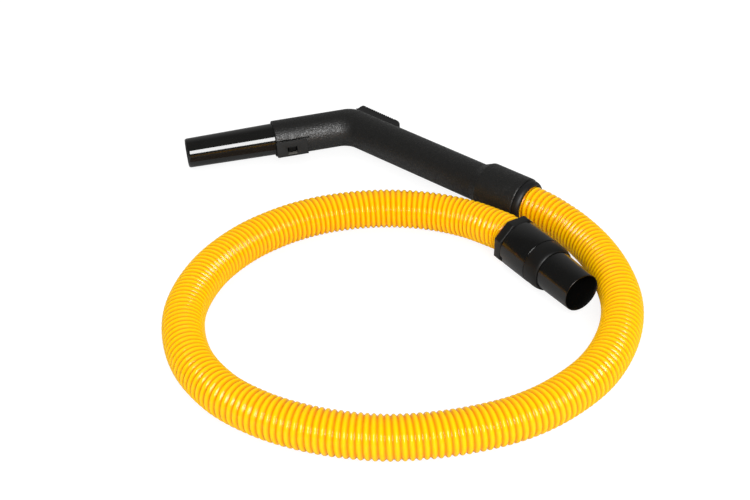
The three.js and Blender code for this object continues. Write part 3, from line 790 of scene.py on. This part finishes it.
leaf = block("leaf_spring", (53.3, 60.3), (14.55, 15.05), (-6.7, -0.7))
select_faces(leaf, "x")
bent = [LEAF_RISE * (1 - math.cos(math.pi * i / LEAF_STEPS)) / 2 for i in range(LEAF_STEPS + 1)]
for low, high in zip(bent, bent[1:]):
    step = (LEAF_RUN / LEAF_STEPS * MM, (high - low) * MM, 0)
    bpy.ops.mesh.extrude_region_move(TRANSFORM_OT_translate={"value": step})
bpy.ops.mesh.extrude_region_move(TRANSFORM_OT_translate={"value": (LEAF_TONGUE * MM, 0, 0)})
bpy.ops.object.mode_set(mode="OBJECT")
leaf.data.transform(arm_frame)
edged(leaf, 0.08, segments=1)
spring_steel = rolled_steel()
leaf.data.materials.append(spring_steel)
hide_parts("catch_spring")
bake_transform(leaf)
given(spring_steel, "spring_rivet")

# ---- Bleed-air slider ----
# A ribbed matt slider rides on the grip just behind the elbow. Its stem goes through a slot to a
# shoe inside, and pushed back it opens the port that lets air in and weakens the suction.

SLIDER_SHOULDER = 27  # how far out its upper edges and the bottoms of its rib gaps are
SLIDER_FALL = 1.6  # how much lower its top is at the back
RIB_GAPS = 15
RIB_GAP_PITCH, RIB_GAP_FALL = 3.0, 0.087

slider = block("slider", (-6.8, 55.5), (13.3, 29.2), (-12, 12))
for vertex in slider.data.vertices:
    if vertex.co.y > SLIDER_SHOULDER * MM and vertex.co.x > 0:
        vertex.co.y -= SLIDER_FALL * MM
for wanted, offset, segments in (
    (lambda place: place.y > SLIDER_SHOULDER * MM and place.x > 0, 10.5, 16),  # its back end
    (lambda place: place.y > SLIDER_SHOULDER * MM and place.x < 0, 3.0, 8),  # its front end
):
    select_edges(slider, wanted)
    bpy.ops.mesh.bevel(offset=offset * MM, segments=segments, affect="EDGES")
    bpy.ops.object.mode_set(mode="OBJECT")
modified(slider, "BEVEL", width=1.2 * MM, segments=4, limit_method="ANGLE",
         angle_limit=math.radians(60))
slider.data.transform(hand_frame)
flange = turned("flange", closed([
    (-5.8, HANDLE_FIT), (-5.8, 21.9), (54.6, 21.9), (54.6, HANDLE_FIT),
]), hand_frame)
combined(flange, block("flange_part", (-8, 58), (5, 25), (-13.7, 13.7), hand_frame), "INTERSECT")
edged(flange, 0.7, degrees=50)
combined(slider, rod(-9, 58, HANDLE_FIT, hand_frame))
combined(slider, flange, "UNION")
combined(slider, block("stem", (24, 30), (16.4, 25), (-3, 3), hand_frame), "UNION")
rib_gap = block("rib_gap", (-2.0, -0.2), (SLIDER_SHOULDER, 31.0), (-13, 13))
modified(rib_gap, "ARRAY", count=RIB_GAPS, use_relative_offset=False, use_constant_offset=True,
         constant_offset_displace=(RIB_GAP_PITCH * MM, -RIB_GAP_FALL * MM, 0))
rib_gap.data.transform(hand_frame)
combined(slider, rib_gap)
edged(slider, 0.12, degrees=50, segments=2)
modified(slider, "TRIANGULATE", min_vertices=5, ngon_method="BEAUTY")  # its comb-shaped sides
slider_black = moulded("slider_black", rgb(12, 12, 12), roughness=0.42, bump_size=0.0008,
                       bump_depth=0.15, shine=0.4)
fitted(slider, "regulator", slider_black, "regulator_slider")
given(acetal, "regulator_shoe")
given(spring_steel, "regulator_spring")

# ---- Hose nut ----
# The hose ends in an eight-sided nut with a sleeve, one moulding in black plastic. The hose is
# screwed into the sleeve as far as its step, and a snap ring sits in the groove round it.

NUT_ACROSS, NUT_LENGTH = 50, 9.8
SLEEVE_RADIUS = 22.6
HOSE_STOP, STOP_BORE = 28.3, 18.0  # the step that the hose is screwed up to
GROOVE_START, GROOVE_END = 20.5, 22.7  # along the sleeve, where its snap ring sits
GROOVE_FLOOR = 21.5
cuff_frame = frame_at(cuff_start, cuff_axis.normalized(), Vector((0, 0, 1)))

bpy.ops.object.select_all(action="DESELECT")
bpy.ops.mesh.primitive_cylinder_add(
    vertices=8, radius=NUT_ACROSS / 2 * MM / math.cos(math.pi / 8), depth=NUT_LENGTH * MM,
    location=(0, 0, NUT_LENGTH / 2 * MM), rotation=(0, 0, math.pi / 8))
nut = bpy.context.object
nut.name = "hose_nut_piece"
bpy.ops.object.transform_apply(location=True, rotation=True, scale=True)
nut.data.transform(cuff_frame @ ALONG_X)
modified(nut, "BEVEL", width=0.8 * MM, segments=4, limit_method="ANGLE",
         angle_limit=math.radians(30))
combined(nut, rod(5, 37, SLEEVE_RADIUS, cuff_frame), "UNION")
combined(nut, turned("hose_bore", [
    (-2, POINT), (-2, HOSE_FIT), (HOSE_STOP, HOSE_FIT),
    (HOSE_STOP, STOP_BORE), (38, STOP_BORE), (38, POINT),
], cuff_frame))
combined(nut, turned("ring_groove", closed([
    (GROOVE_START, GROOVE_FLOOR), (GROOVE_START, SNAP_GROOVE),
    (GROOVE_END, SNAP_GROOVE), (GROOVE_END, GROOVE_FLOOR),
]), cuff_frame))
smoothed(nut)
nut_black = moulded("nut_black", rgb(21, 21, 20), roughness=0.42, bump_size=0.0015,
                    bump_depth=0.1, shine=0.4)
fitted(nut, "hose_line", nut_black, "hose_nut")

# ---- Machine cuff ----
# The smooth body, the soft collar and the tapered tube turn on the nut's sleeve together, held
# by the snap ring, so that the hose doesn't kink at the machine. A face seal keeps air out.

BODY_END, TUBE_END = 46.5, 106.8
COLLAR_START, COLLAR_END = 46.8, 64.4

cuff_body = turned("cuff_body_piece", closed([
    (10.1, SWIVEL_BORE), (10.1, 24.6), *reversed(rounded((10.8, 25.2), (10.1, 24.6), 3)),
    *rounded((46.0, 24.51), (BODY_END, 24.0), 3), (BODY_END, SWIVEL_BORE),
    (GROOVE_END, SWIVEL_BORE), (GROOVE_END, SNAP_GROOVE),
    (GROOVE_START, SNAP_GROOVE), (GROOVE_START, SWIVEL_BORE),
]), cuff_frame)
smoothed(cuff_body)
cuff_black = moulded("cuff_black", rgb(15, 15, 14), roughness=0.2, bump_size=0.0015,
                     bump_depth=0.05, shine=0.6)
fitted(cuff_body, "cuff", cuff_black, "cuff_body")

cuff_collar = turned("cuff_collar_piece", closed([
    (COLLAR_START, 21.2), (COLLAR_START, 23.9),
    *reversed(rounded((47.1, 24.2), (COLLAR_START, 23.9), 3)),
    *rounded((53.8, 24.2), (COLLAR_END, 21.5), 14), (COLLAR_END, 21.2),
]), cuff_frame)
smoothed(cuff_collar)
collar_black = moulded("collar_black", rgb(17, 17, 16), roughness=0.46, bump_size=0.0008,
                       bump_depth=0.2, shine=0.32)
fitted(cuff_collar, "cuff", collar_black, "cuff_collar")

cuff_tube = turned("cuff_tube_piece", closed([
    (39.5, 18.7), (39.5, SLEEVE_RADIUS), (42, SLEEVE_RADIUS), (42, 20.9), (COLLAR_END, 20.9),
    (85, 20.25), *rounded((106.3, 19.62), (TUBE_END, 19.2), 4),
    (TUBE_END, 18.9), (106.4, 18.6), (99, 17.6), (COLLAR_END, 18.7),
]), cuff_frame)
smoothed(cuff_tube)
fitted(cuff_tube, "cuff", cuff_black, "cuff_tube")

given(acetal, "cuff_snap_ring")
given(rubber, "cuff_seal")
